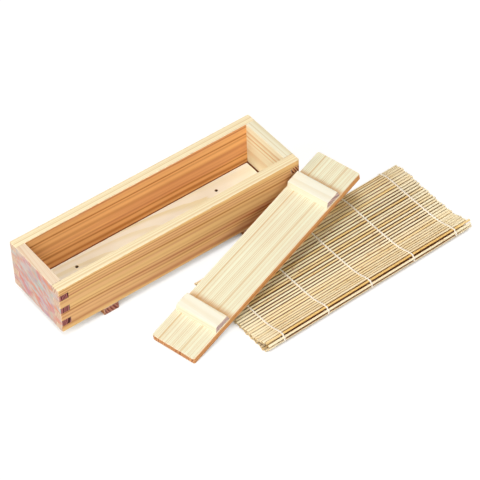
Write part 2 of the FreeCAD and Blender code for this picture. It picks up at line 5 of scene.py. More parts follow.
import bmesh
import bpy
from mathutils import Euler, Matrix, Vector

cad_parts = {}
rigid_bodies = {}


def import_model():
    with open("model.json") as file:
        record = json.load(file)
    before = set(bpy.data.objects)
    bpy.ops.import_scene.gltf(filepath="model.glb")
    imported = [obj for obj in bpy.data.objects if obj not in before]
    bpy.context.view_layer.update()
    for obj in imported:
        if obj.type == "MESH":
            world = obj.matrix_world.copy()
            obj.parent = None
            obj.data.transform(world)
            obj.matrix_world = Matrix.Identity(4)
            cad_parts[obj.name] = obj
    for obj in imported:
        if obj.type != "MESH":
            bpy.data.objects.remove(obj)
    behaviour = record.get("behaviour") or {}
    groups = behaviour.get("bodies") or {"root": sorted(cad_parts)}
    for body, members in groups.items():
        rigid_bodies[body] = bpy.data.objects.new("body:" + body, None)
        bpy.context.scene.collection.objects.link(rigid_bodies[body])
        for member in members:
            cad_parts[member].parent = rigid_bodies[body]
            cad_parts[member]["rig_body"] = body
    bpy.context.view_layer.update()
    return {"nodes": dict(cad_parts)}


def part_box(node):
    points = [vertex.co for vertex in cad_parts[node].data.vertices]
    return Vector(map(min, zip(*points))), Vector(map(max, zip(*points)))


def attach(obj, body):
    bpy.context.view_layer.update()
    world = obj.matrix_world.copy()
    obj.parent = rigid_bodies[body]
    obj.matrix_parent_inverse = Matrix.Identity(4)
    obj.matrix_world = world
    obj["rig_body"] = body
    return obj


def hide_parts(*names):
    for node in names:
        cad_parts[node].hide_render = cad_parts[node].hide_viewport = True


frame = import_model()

# Wooden mould for pressed sushi with its press board and a folded bamboo rolling mat, laid out on a table.
# Everything is in metres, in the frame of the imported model. Sizes of pieces are written in mm, and MM turns
# them into metres.

# ------------------------------------------------------------------------------------------- camera
# A long lens looks down on the set from the front left, from a little over two metres away.
# Its place is measured from the middle of the mould's frame on the table.
MM = 0.001
FROM_MOULD = (-817.801, -1288.390, 1569.711)
CAMERA_TURN = (0.7715273, 0.0300016, -0.6443975)
mould_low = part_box("side_board_front")[0]
mould_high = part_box("side_board_back")[1]
mould_middle = Vector(((mould_low.x + mould_high.x) / 2, (mould_low.y + mould_high.y) / 2, 0))

lens = bpy.data.cameras.new("camera")
lens.sensor_width = 36
lens.lens = 179.902
lens.clip_start = 0.1
lens.clip_end = 50
camera = bpy.data.objects.new("camera", lens)
camera.location = mould_middle + Vector(FROM_MOULD) * MM
camera.rotation_euler = CAMERA_TURN
bpy.context.scene.collection.objects.link(camera)
bpy.context.scene.camera = camera

# ------------------------------------------------------------------------------- mould: base board
# One thin pale board of cypress, plain sawn, that closes the frame from below.
# It is planed, its upper arrises are eased, and four nails sink into it.
# Painted shade: the height and colour of a dark band painted low on the frame's inner faces, where they meet
# the base board in a narrow slit.
SLIT_SHADE_HEIGHT = 13.0
SLIT_SHADE_TONE = "a24a1c"
# Partly heartwood, partly painted shade: the red-brown low on the front board, next to the raised press
# board.
HEART_AND_SHADE_TONE = "9c4410"
# Painted shadow: the tan of the bands painted on the press board just behind its battens.
BATTEN_SHADOW_TONE = "d9a468"
# Partly wear, partly painted highlight: the pale colour along the eased arrises.
WEAR_AND_HIGHLIGHT_TONE = "fff4dc"
ALONG_X = (0, 0, 0)
ALONG_Y = (0, 0, math.pi / 2)
nodes = frame["nodes"]


class Link:
    """A socket of a node tree; sums and products of links add the Math nodes that work them out."""

    def __init__(self, tree, socket=None):
        self.tree = tree
        self.socket = socket

    def node(self, kind, settings=None, inputs=None, output=0):
        """Any node: its settings are made first, then its inputs take the values or links given."""
        made = self.tree.nodes.new(kind)
        for name, value in (settings or {}).items():
            setattr(made, name, value)
        for name, value in (inputs or {}).items():
            if isinstance(value, Link):
                self.tree.links.new(value.socket, made.inputs[name])
            else:
                made.inputs[name].default_value = value
        return Link(self.tree, made.outputs[output] if made.outputs else None)

    def out(self, name):
        """Another output of the same node."""
        return Link(self.tree, self.socket.node.outputs[name])

    def into(self, node, name):
        """Feed this value to a socket of a node."""
        self.tree.links.new(self.socket, node.inputs[name])

    def math(self, operation, *values):
        return self.node("ShaderNodeMath", {"operation": operation}, dict(enumerate(values)))

    def __add__(self, other):
        return self.math("ADD", self, other)

    def __sub__(self, other):
        return self.math("SUBTRACT", self, other)

    def __rsub__(self, other):
        return self.math("SUBTRACT", other, self)

    def __mul__(self, other):
        return self.math("MULTIPLY", self, other)

    def __truediv__(self, other):
        return self.math("DIVIDE", self, other)

    def __pow__(self, other):
        return self.math("POWER", self, other)

    __radd__ = __add__
    __rmul__ = __mul__

    def smooth(self, start, end, low=0.0, high=1.0):
        """Smooth step of this value, from low at start to high at end."""
        return self.node(
            "ShaderNodeMapRange", {"interpolation_type": "SMOOTHSTEP"},
            {0: self, 1: start, 2: end, 3: low, 4: high},
        )

    def tint(self, first, second):
        """Colour between two colours, by this value."""
        return self.node("ShaderNodeMix", {"data_type": "RGBA"}, {0: self, 6: first, 7: second}, 2)


def colour(code):
    """Linear colour of a six-digit screen colour."""
    parts = [int(code[index:index + 2], 16) / 255 for index in (0, 2, 4)]
    return (*[part / 12.92 if part <= 0.04045 else ((part + 0.055) / 1.055) ** 2.4 for part in parts], 1.0)


def surface(name):
    """A new material, as the start of its node tree and the shader's node."""
    material = bpy.data.materials.new(name)
    material.use_nodes = True
    shader = material.node_tree.nodes["Principled BSDF"]
    return material, Link(material.node_tree), shader


def finish_surface(shader, tone, rough, height, strength, depth):
    """Colour, roughness and relief of a material; depth is how many mm deep the relief is at most."""
    tone.into(shader, "Base Color")
    rough.into(shader, "Roughness")
    bump = {"Height": height, "Strength": strength, "Distance": depth * MM}
    height.node("ShaderNodeBump", inputs=bump).into(shader, "Normal")


def wood(name, middle, turn, size, pith, ring, contrast, side, top, ends, lean=(0, 0), wander=1.0, soft=0.93,
         tints=(), damp_side=0, heart=(), marks=()):
    """Planed softwood cut from a log. Its growth rings run round the log's pith, so they meet at every arris.

    middle and turn give the board's own axes: along the grain, across it, and up. size is along each, in mm.
    pith is the pith's place across and up at the board's middle, and lean how far it moves for each mm along.
    ring is a ring's width, contrast how dark late wood is, wander how uneven the rings are, and soft where in
    a ring, from 0 to 1, its dark part starts to fade. side, top and ends are each a colour of early wood and
    one of late wood, for the sides, for the top and underside, and for end grain.
    tints are patches of other colours, each a colour, patches for each mm, a seed, length to width, strength
    and slope; sloping ones are on one side only. damp_side is 1 or -1 for the side that gets painted shade
    low down, in the narrow slit by the base board's edge.
    heart is where a red-brown patch, partly heartwood and partly painted shade from the press board beside
    it, begins and is full along the board, and where it begins and is full down it.
    marks are the starts and lengths of tan bands painted across the board as the battens' shadows.
    """
    material, tree, shader = surface(name)
    place = tree.node("ShaderNodeTexCoord")
    board = tree.node(
        "ShaderNodeMapping", {"vector_type": "TEXTURE"},
        {"Vector": place.out("Object"), "Location": middle, "Rotation": turn, "Scale": (MM, MM, MM)},
    )
    axes = tree.node("ShaderNodeSeparateXYZ", inputs={0: board})
    along, across, up = axes.out("X"), axes.out("Y"), axes.out("Z")
    normal = tree.node(
        "ShaderNodeMapping", {"vector_type": "TEXTURE"}, {"Vector": place.out("Normal"), "Rotation": turn},
    )
    facing = tree.node("ShaderNodeSeparateXYZ", inputs={0: normal})
    end_mask = (facing.out("X") * facing.out("X")).smooth(0.45, 0.7)
    top_mask = (facing.out("Z") * facing.out("Z")).smooth(0.45, 0.7)

    def grain(scale, detail, seed, stretch, slope=0.0):
        """Noise drawn out along the grain, or along a line that climbs over the wide face."""
        base = board
        if slope:
            base = tree.node(
                "ShaderNodeVectorRotate", {"rotation_type": "Y_AXIS"}, {"Vector": board, "Angle": slope},
            )
        spot = tree.node(
            "ShaderNodeVectorMath", {"operation": "MULTIPLY_ADD"},
            {0: base, 1: (scale / stretch, scale, scale), 2: (seed, seed * 0.7, seed * 1.3)},
        )
        return tree.node(
            "ShaderNodeTexNoise", inputs={"Vector": spot, "Scale": 1.0, "Detail": detail, "Roughness": 0.55},
        )

    # Growth rings: slowly wandering and a little rough, some wider and some darker than others.
    off_across = across - pith[0] + along * lean[0]
    off_up = up - pith[1] + along * lean[1]
    radius = (off_across * off_across + off_up * off_up) ** 0.5
    drift = grain(0.018, detail=1.0, seed=3.7, stretch=4.0) - 0.5
    rough_edge = grain(0.22, detail=2.0, seed=9.1, stretch=30.0) - 0.5
    radius = radius + drift * (7.0 * wander) + rough_edge * 0.9
    uneven = tree.node(
        "ShaderNodeTexNoise", {"noise_dimensions": "1D"},
        {"W": radius / (ring * 5.0), "Scale": 1.0, "Detail": 1.0},
    )
    count = radius / ring + (uneven - 0.5) * 4.0
    part = tree.math("FRACT", count)
    late = part.smooth(soft * 0.27, soft - 0.07) * part.smooth(1.0, soft)
    broad = tree.node(
        "ShaderNodeTexNoise", {"noise_dimensions": "1D"},
        {"W": count * 0.45, "Scale": 1.0, "Detail": 2.0, "Roughness": 0.7},
    ).smooth(0.3, 0.72)
    fibre = grain(2.4, detail=3.0, seed=1.3, stretch=60.0)
    depth = late * contrast * (broad * 0.7 + 0.5) + (broad - 0.45) * (contrast * 0.45) + (fibre - 0.5) * 0.34
    depth = depth.smooth(-0.12, 1.0)

    side_tone = depth.tint(colour(side[0]), colour(side[1]))
    top_tone = depth.tint(colour(top[0]), colour(top[1]))
    pores = grain(1.6, detail=3.0, seed=5.5, stretch=1.0) - 0.5
    end_tone = (late * 1.1 + pores * 0.5).smooth(0.0, 1.0).tint(colour(ends[0]), colour(ends[1]))
    tone = end_mask.tint(top_mask.tint(side_tone, top_tone), end_tone)

    for code, scale, seed, stretch, strength, slope in tints:
        patch = grain(scale, 3.0, seed, stretch, slope).smooth(0.48, 0.6) * strength
        patch = patch * (1.0 - top_mask) * (1.0 - end_mask)
        if slope:
            patch = patch * facing.out("Y").smooth(0.2, 0.6)
        tone = patch.tint(tone, colour(code))
    # Painted shade: a dark band low on one side, standing in for the shade in the slit between the frame and
    # the base board's edge.
    if damp_side:
        low = (up + middle[2] / MM).smooth(SLIT_SHADE_HEIGHT + 0.5, SLIT_SHADE_HEIGHT - 0.1)
        damp = low * (facing.out("Y") * damp_side).smooth(0.2, 0.6)
        tone = (damp * 0.92).tint(tone, colour(SLIT_SHADE_TONE))
    # Partly heartwood, partly painted shade cast by the press board: the board is tinted red-brown towards
    # its lower end.
    if heart:
        red = along.smooth(heart[0], heart[1]) * up.smooth(heart[2], heart[3]) * (1.0 - end_mask)
        red = red * (depth * 0.45 + 0.55)
        tone = red.tint(tone, colour(HEART_AND_SHADE_TONE))
    # Painted shadow: patchy tan bands across the board just behind each batten.
    for start, length in marks:
        shadowed_band = along.smooth(start - 0.5, start) * along.smooth(start + length, start) * (1.0 - end_mask)
        patchy = grain(0.15, detail=2.0, seed=50.0, stretch=3.0).smooth(0.1, 0.6, 0.35, 0.85)
        tone = (shadowed_band * patchy).tint(tone, colour(BATTEN_SHADOW_TONE))

    # Wear and painted highlight: the eased arrises are painted a little paler, partly as rubbed wood and
    # partly as a painted highlight, and are smoother, unevenly along their length.
    # The two least of a spot's depths under the board's faces add up to nearly nothing on an arris.
    under = [length / 2 - tree.math("ABSOLUTE", axis) for axis, length in zip((along, across, up), size)]
    most = tree.math("MAXIMUM", tree.math("MAXIMUM", under[0], under[1]), under[2])
    uneven_wear = grain(0.12, detail=2.0, seed=21.0, stretch=2.0).smooth(0.3, 0.7)
    arris = (under[0] + under[1] + under[2] - most).smooth(1.6, 0.2) * uneven_wear
    tone = (arris * 0.35).tint(tone, colour(WEAR_AND_HIGHLIGHT_TONE))
    handled = grain(0.02, detail=3.0, seed=30.0, stretch=1.5).smooth(0.45, 0.75)
    tone = (handled * 0.10).tint(tone, colour(side[1]))

    rough = 0.58 + fibre * 0.16 - late * 0.08 - arris * 0.12
    finish_surface(shader, tone, rough, late * 0.5 + fibre * 0.8, strength=0.35, depth=0.12)
    shader.inputs["Specular IOR Level"].default_value = 0.2
    return material


def finish_node(node, material):
    """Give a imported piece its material."""
    for place in nodes[node].material_slots:
        place.material = material


def finish_board(node, timber, turn=ALONG_X, size=None, **cut):
    """Give a packed board wood of its own; its size comes from its box, unless it lies at an angle."""
    low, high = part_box(node)
    if size is None:
        size = (high - low) / MM
        if turn == ALONG_Y:
            size = size.yxz
    finish_node(node, wood(f"{timber}_{node}", (low + high) / 2, turn, size, **cut))


finish_board(
    "base_board", "cypress",
    pith=(4, -58), ring=2.7, lean=(0.0, 0.03), contrast=0.48, wander=0.8,
    side=("d9a96c", "8a5630"), top=("fdfff2", "eae2ae"), ends=("a0703c", "6a3a1c"),
)

# -------------------------------------------------------------------------------- mould: cross feet
# Two short battens of reddish cedar, nailed across under the base board from above.
# The frame's long boards stand on their ends.
for foot in ("foot_left", "foot_right"):
    finish_board(
        foot, "cedar", ALONG_Y,
        pith=(-20, 9), ring=2.2, contrast=0.5,
        side=("c98a58", "96522f"), top=("cf9462", "9a5632"), ends=("b27a68", "763a30"),
    )

# ----------------------------------------------------------------------------- mould: frame boards
# Four cypress boards, finger-jointed at the corners without glue showing. The long boards are cut so that
# their rims show fine straight lines and their faces broad golden stripes.
SIDE_RIM = ("faf2d2", "e2c898")
SIDE_ENDS = ("e6d4c0", "c9a48e")
finish_board(
    "side_board_front", "cypress",
    pith=(-180, -62), ring=1.6, lean=(0.0, 0.004), contrast=0.62, wander=0.35, soft=0.55,
    side=("efca8c", "bb7b42"), top=SIDE_RIM, ends=SIDE_ENDS,
    # Its lower right end is red-brown, partly heartwood and partly painted shade from the press board.
    tints=(("dd9a80", 0.2, 14.0, 60.0, 0.25, 0.0),), heart=(30, 105, 6, -14),
)
finish_board(
    "side_board_back", "cypress",
    pith=(150, -52), ring=1.7, lean=(0.0, -0.003), contrast=0.52, wander=0.35, soft=0.6,
    side=("ffc986", "c0702e"), top=SIDE_RIM, ends=SIDE_ENDS,
    # Its inner face gets a band of painted shade low down, in the slit by the base board.
    tints=(("d98c66", 0.09, 4.0, 30.0, 0.4, 0.0),), damp_side=-1,
)
finish_board(
    "end_board_left", "cypress", ALONG_Y,
    pith=(84, 3), ring=2.4, lean=(0.13, 0.1), contrast=0.4, wander=1.1,
    side=("d0c8c0", "bf8884"), top=("eedfca", "dcba98"), ends=("b06c6c", "46100c"),
    tints=(
        ("d4848c", 0.06, 51.0, 1.6, 0.85, 0.35), ("acc0be", 0.08, 6.0, 1.7, 0.85, 0.55),
        ("b898ba", 0.10, 17.0, 2.0, 0.6, 0.7), ("de8a74", 0.16, 27.0, 3.4, 0.7, 0.5),
        ("e6a878", 0.28, 35.0, 5.0, 0.5, 0.6), ("ccd6d4", 0.22, 44.0, 3.0, 0.6, 0.45),
    ),
)
finish_board(
    "end_board_right", "cypress", ALONG_Y,
    pith=(84, -30), ring=3.0, lean=(0.02, 0.03), contrast=0.45, wander=0.5,
    # Its inner face gets a band of painted shade low down, in the slit by the base board.
    side=("f9f8dc", "d8aa66"), top=("f3f3e0", "d8cca4"), ends=("dba878", "6a2010"), damp_side=1,
)

# ------------------------------------------------------------------------------------- press board
# One planed cypress board with rounded corners, quarter sawn, so that its top shows fine straight lines.
# It lies with its far end raised and turned from the frame.
PRESS_YAW = math.radians(13.7)
PRESS_PITCH = math.radians(10.21)
finish_board(
    "press_board", "cypress", Euler((0, -PRESS_PITCH, PRESS_YAW)), size=(241, 48, 7),
    pith=(-210, -50), ring=1.5, lean=(0.004, 0.0), contrast=0.75, wander=0.3,
    side=("e9ae72", "bd7a45"), top=("ebefda", "d7c39b"), ends=("dba46c", "ad6a3c"),
    # Painted shadows of the two battens, just behind each.
    marks=((-69.5, 9.0), (91.0, 7.0)),
)

# ----------------------------------------------------------------------------------- press battens
# Two short battens of very pale cypress with sloping flanks, for the fingers to lift the press by.
# Nails from under the press board hold them.
for batten, pith in (("press_batten_near", (-30, -60)), ("press_batten_far", (24, -74))):
    finish_board(
        batten, "cypress", Euler((0, 0, PRESS_YAW + math.pi / 2)), size=(46, 19, 6),
        pith=pith, ring=2.3, contrast=0.42, wander=0.5,
        side=("eff0dd", "e6ddba"), top=("eff1e6", "e6e1ca"), ends=("dcc4c4", "a88c94"),
    )


# ------------------------------------------------------------------------------------------- nails
# Wire nails of dull steel: four in the base board with their heads sunk below its face,
# and four in the press board, driven from underneath.
def steel(name):
    """Dull wire: speckled dark grey, with rusty blotches that take its shine away."""
    material, tree, shader = surface(name)
    place = tree.node("ShaderNodeTexCoord").out("Object")
    speck = tree.node("ShaderNodeTexNoise", inputs={"Vector": place, "Scale": 2600.0, "Detail": 4.0})
    blotch = tree.node("ShaderNodeTexNoise", inputs={"Vector": place, "Scale": 700.0, "Detail": 2.0})
    rust = blotch.smooth(0.5, 0.75) * 0.5
    tone = rust.tint(speck.tint(colour("2c2622"), colour("4e4640")), colour("42271a"))
    finish_surface(shader, tone, 0.38 + speck * 0.2 + rust * 0.4, speck, strength=0.3, depth=0.05)
    (1 - rust * 1.4).into(shader, "Metallic")
    return material


nail_steel = steel("dull_steel")
finish_node("base_nails", nail_steel)
finish_node("press_nails", nail_steel)

# --------------------------------------------------------------------------------- mat: bamboo slats
# Sixty-one split bamboo slats, skin side out, one after another along the folded mat. Each is a little
# bowed and uneven in width, and swells where the cane had a node. Their ends are cut roughly level.
SLAT_LENGTH = 238.0
SLAT_WIDTH = 2.45
SLAT_THICKNESS = 1.6
MAT_YAW = math.radians(1.2)
slat_way = Vector((math.cos(MAT_YAW), math.sin(MAT_YAW), 0))
mat_depth = Vector((-math.sin(MAT_YAW), math.cos(MAT_YAW), 0))

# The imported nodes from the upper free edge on, each with the way that its slats follow each other: forwards
# in the upper layer, down round the fold, and back in the lower layer. 0 is for depth and 1 for height.
MAT_NODES = {
    "mat_slats_edge_3": (0, -1), "mat_slats_edge_2": (0, -1), "mat_slats_edge_1": (0, -1),
    "mat_slats_upper": (0, -1), "mat_slats_fold": (1, -1), "mat_slats_lower": (0, 1),
}

# Counted in that order, the slats at the free edge and those before the fold are wide, so they lie close.
# The last slat of the upper layer is much more golden than its neighbour.
EDGE_SLATS, EDGE_TRIM = range(9), 1.09
CLOSE_SLATS, CLOSE_TRIM = range(22, 31), 1.14
LAST_TONES = {30: 0.15, 31: 0.55}


def slats_of(node):
    """Where each packed slat of a node lies: its start, length, section's middle and flat side's angle."""
    mesh = bmesh.new()
    mesh.from_mesh(nodes[node].data)
    bmesh.ops.remove_doubles(mesh, verts=mesh.verts, dist=1e-6)
    left, found = set(mesh.verts), []
    while left:
        island, border = set(), [left.pop()]
        while border:
            vertex = border.pop()
            island.add(vertex)
            for link in vertex.link_edges:
                other = link.other_vert(vertex)
                if other in left:
                    left.discard(other)
                    border.append(other)
        places = [vertex.co.copy() for vertex in island]
        start = min(place.dot(slat_way) for place in places)
        end = max(place.dot(slat_way) for place in places)
        section = [(place.dot(mat_depth), place.z) for place in places if place.dot(slat_way) < start + 1e-5]
        middle = [math.fsum(values) / len(section) for values in zip(*section)]
        offs = [(depth - middle[0], height - middle[1]) for depth, height in section]
        mixed = math.fsum(depth * height for depth, height in offs)
        spread = math.fsum(depth * depth for depth, height in offs)
        rise = math.fsum(height * height for depth, height in offs)
        flat = 0.5 * math.atan2(2 * mixed, spread - rise)
        found.append({"node": node, "start": start, "length": end - start, "middle": middle, "flat": flat})
    mesh.free()
    return found


slats = []
for node, (axis, way) in MAT_NODES.items():
    slats += sorted(slats_of(node), key=lambda slat: slat["middle"][axis] * way)

# The skin side looks outwards all along the mat: up in the upper layer, forwards round the fold, then down.
for index, slat in enumerate(slats):
    before, after = slats[max(index - 1, 0)]["middle"], slats[min(index + 1, len(slats) - 1)]["middle"]
    side = (math.cos(slat["flat"]), math.sin(slat["flat"]))
    if side[0] * (after[0] - before[0]) + side[1] * (after[1] - before[1]) < 0:
        side = (-side[0], -side[1])
    slat["travel"] = side
    slat["skin"] = (side[1], -side[0])
    slat["turn"] = math.atan2(-side[1], -side[0])

# tone is how golden a slat is, chance a number of its own, trim and depth its width and thickness as shares
# of the usual ones, and knuckle where along it the cane's node comes.
draw = random.Random(61)
for index, slat in enumerate(slats):
    slat["tone"] = draw.choice((0.0, 0.04, 0.08, 0.14, 0.22, 0.34)) + draw.uniform(0, 0.06)
    slat["chance"] = draw.random()
    slat["trim"] = 0.89 + 0.08 * draw.random()
    slat["knuckle"] = 0.12 + 0.76 * ((slat["chance"] * 7.31) % 1)
    slat["depth"] = 0.94 + 0.06 * ((slat["chance"] * 5.19) % 1)
    if index in EDGE_SLATS:
        slat["tone"] = 0.14 + 0.22 * draw.random()
        slat["trim"] = EDGE_TRIM
    if index in CLOSE_SLATS:
        slat["tone"] = 0.13 + 0.13 * draw.random()
        slat["trim"] = CLOSE_TRIM
    if index in LAST_TONES:
        slat["tone"] = LAST_TONES[index]
    if slat["node"] == "mat_slats_fold":
        slat["tone"] = 0.10
    if slat["node"] == "mat_slats_lower":
        slat["tone"] += 0.12


def new_tree(name, numbers):
    """Geometry tree with a named number for each size; gives its inputs."""
    tree = bpy.data.node_groups.new(name, "GeometryNodeTree")
    tree.interface.new_socket("Geometry", in_out="INPUT", socket_type="NodeSocketGeometry")
    for label in numbers:
        kind = "NodeSocketInt" if label in ("Rings", "Seed", "Sides") else "NodeSocketFloat"
        tree.interface.new_socket(label, in_out="INPUT", socket_type=kind)
    tree.interface.new_socket("Material", in_out="INPUT", socket_type="NodeSocketMaterial")
    tree.interface.new_socket("Geometry", in_out="OUTPUT", socket_type="NodeSocketGeometry")
    return Link(tree).node("NodeGroupInput")


def close_tree(last, sizes):
    """End a tree in plain geometry of one material."""
    last = last.node("GeometryNodeRealizeInstances", inputs={"Geometry": last})
    last = last.node("GeometryNodeSetMaterial", inputs={"Geometry": last, "Material": sizes.out("Material")})
    last.node("NodeGroupOutput", inputs={0: last})
    return last.tree


def stored(tree, name):
    """A number kept on each point."""
    return tree.node("GeometryNodeInputNamedAttribute", {"data_type": "FLOAT"}, {"Name": name})


def keep(shape, name, value):
    """The same shape, with a number kept on each point."""
    return shape.node(
        "GeometryNodeStoreNamedAttribute", {"data_type": "FLOAT", "domain": "POINT"},
        {"Geometry": shape, "Name": name, "Value": value},
    )


def slat_tree():
    """A slat on each point of the mat's line: a rounded strip, its rings drawn close at the cane's node."""
    sizes = new_tree("bamboo_slats", [
        "Width", "Thickness", "Arris", "Rings", "Bow", "Swelling", "Swelling Length", "Yaw", "Seed",
    ])
    outline = sizes.node(
        "GeometryNodeCurvePrimitiveQuadrilateral", {"mode": "RECTANGLE"},
        {"Width": sizes.out("Width"), "Height": sizes.out("Thickness")},
    )
    outline = outline.node(
        "GeometryNodeFilletCurve", {"mode": "POLY"},
        {"Curve": outline, "Count": 2, "Radius": sizes.out("Arris"), "Limit Radius": True},
    )
    spine = sizes.node("GeometryNodeCurvePrimitiveLine", inputs={"Start": (0, 0, 0), "End": (1, 0, 0)})
    spine = spine.node("GeometryNodeResampleCurve", inputs={"Curve": spine, "Count": sizes.out("Rings")})
    spine = spine.node("GeometryNodeSetCurveNormal", {"mode": "FREE"}, {"Curve": spine, "Normal": (0, 1, 0)})
    strip = spine.node(
        "GeometryNodeCurveToMesh", inputs={"Curve": spine, "Profile Curve": outline, "Fill Caps": True},
    )
    place = strip.node("ShaderNodeSeparateXYZ", inputs={0: strip.node("GeometryNodeInputPosition")})
    strip = keep(strip, "along", place.out("X"))
    strip = keep(strip, "skin", place.out("Z") / sizes.out("Thickness"))
    turn = strip.node("ShaderNodeCombineXYZ", inputs={0: stored(sizes, "turn"), 1: 0.0, 2: sizes.out("Yaw")})
    scale = strip.node("ShaderNodeCombineXYZ", inputs={
        0: stored(sizes, "length"), 1: stored(sizes, "trim"), 2: stored(sizes, "depth"),
    })
    laid = strip.node(
        "GeometryNodeInstanceOnPoints",
        inputs={"Points": sizes.out("Geometry"), "Instance": strip, "Rotation": turn, "Scale": scale},
    )
    laid = laid.node("GeometryNodeRealizeInstances", inputs={"Geometry": laid})

    # Rings move towards the cane's node, where the strip swells.
    ring, knuckle, length = stored(sizes, "along"), stored(sizes, "knuckle"), stored(sizes, "length")
    lead = ring * 2.0 - 1.0
    room = knuckle + sizes.math("GREATER_THAN", lead, 0.0) * (1.0 - knuckle * 2.0)
    wanted = knuckle + lead * sizes.math("ABSOLUTE", lead) * room
    drift = laid.node(
        "ShaderNodeVectorMath", {"operation": "SCALE"},
        {0: tuple(slat_way), "Scale": (wanted - ring) * length},
    )
    laid = laid.node("GeometryNodeSetPosition", inputs={"Geometry": laid, "Offset": drift})
    laid = keep(laid, "along", wanted)
    off = (stored(sizes, "along") - knuckle) * length / sizes.out("Swelling Length")
    swell = sizes.math("EXPONENT", off * off * -1.0) * sizes.out("Swelling")
    out = laid.node(
        "ShaderNodeVectorMath", {"operation": "SCALE"},
        {0: laid.node("GeometryNodeInputNormal"), "Scale": swell},
    )

    # Each slat is bowed in its own way, and a quarter as much in height as in depth.
    wave = stored(sizes, "along") * 2.3 + stored(sizes, "chance") * 37.0 + sizes.out("Seed")
    bend = laid.node(
        "ShaderNodeTexNoise", {"noise_dimensions": "1D"}, {"W": wave, "Scale": 1.0, "Detail": 1.0},
    )
    bow = laid.node("ShaderNodeCombineXYZ", inputs={
        0: 0.0, 1: (bend - 0.5) * sizes.out("Bow"), 2: (bend.out("Color") - 0.5) * sizes.out("Bow") * 0.25,
    })
    shift = laid.node("ShaderNodeVectorMath", {"operation": "ADD"}, {0: out, 1: bow})
    laid = laid.node("GeometryNodeSetPosition", inputs={"Geometry": laid, "Offset": shift})

    # All is shaded smooth but the cut ends.
    facing = laid.node(
        "ShaderNodeVectorMath", {"operation": "DOT_PRODUCT"},
        {0: laid.node("GeometryNodeInputNormal"), 1: tuple(slat_way)}, "Value",
    )
    flank = sizes.math("LESS_THAN", sizes.math("ABSOLUTE", facing), 0.8)
    laid = laid.node(
        "GeometryNodeSetShadeSmooth", inputs={"Geometry": laid, "Selection": True, "Shade Smooth": flank},
    )
    return close_tree(laid, sizes)


def line_mesh(name, points, edges, values):
    """Bare points, joined or not, with a number of each kind stored on every point."""
    mesh = bpy.data.meshes.new(name)
    mesh.from_pydata(points, edges, [])
    for label, numbers in values.items():
        mesh.attributes.new(label, "FLOAT", "POINT").data.foreach_set("value", numbers)
    piece = bpy.data.objects.new(name, mesh)
    bpy.context.scene.collection.objects.link(piece)
    return piece


def grow(piece, tree, values):
    """Run a tree on a piece with its named inputs set, and keep the result as a plain mesh."""
    modifier = piece.modifiers.new("growth", "NODES")
    modifier.node_group = tree
    for item in tree.interface.items_tree:
        if item.item_type == "SOCKET" and item.in_out == "INPUT" and item.name in values:
            modifier[item.identifier] = values[item.name]
    graph = bpy.context.evaluated_depsgraph_get()
    made = bpy.data.meshes.new_from_object(piece.evaluated_get(graph))
    piece.modifiers.clear()
    spent = piece.data
    piece.data = made
    made.name = piece.name
    bpy.data.meshes.remove(spent)


def hand_over(piece, node):
    """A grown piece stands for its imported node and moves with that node's body."""
    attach(piece, nodes[node]["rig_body"])
    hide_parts(node)


def over_mat(place):
    """A spot in mm with its first axis along the slats, from the node of texture coordinates."""
    return place.node(
        "ShaderNodeMapping", {"vector_type": "TEXTURE"},
        {"Vector": place.out("Object"), "Rotation": (0, 0, MAT_YAW), "Scale": (MM, MM, MM)},
    )


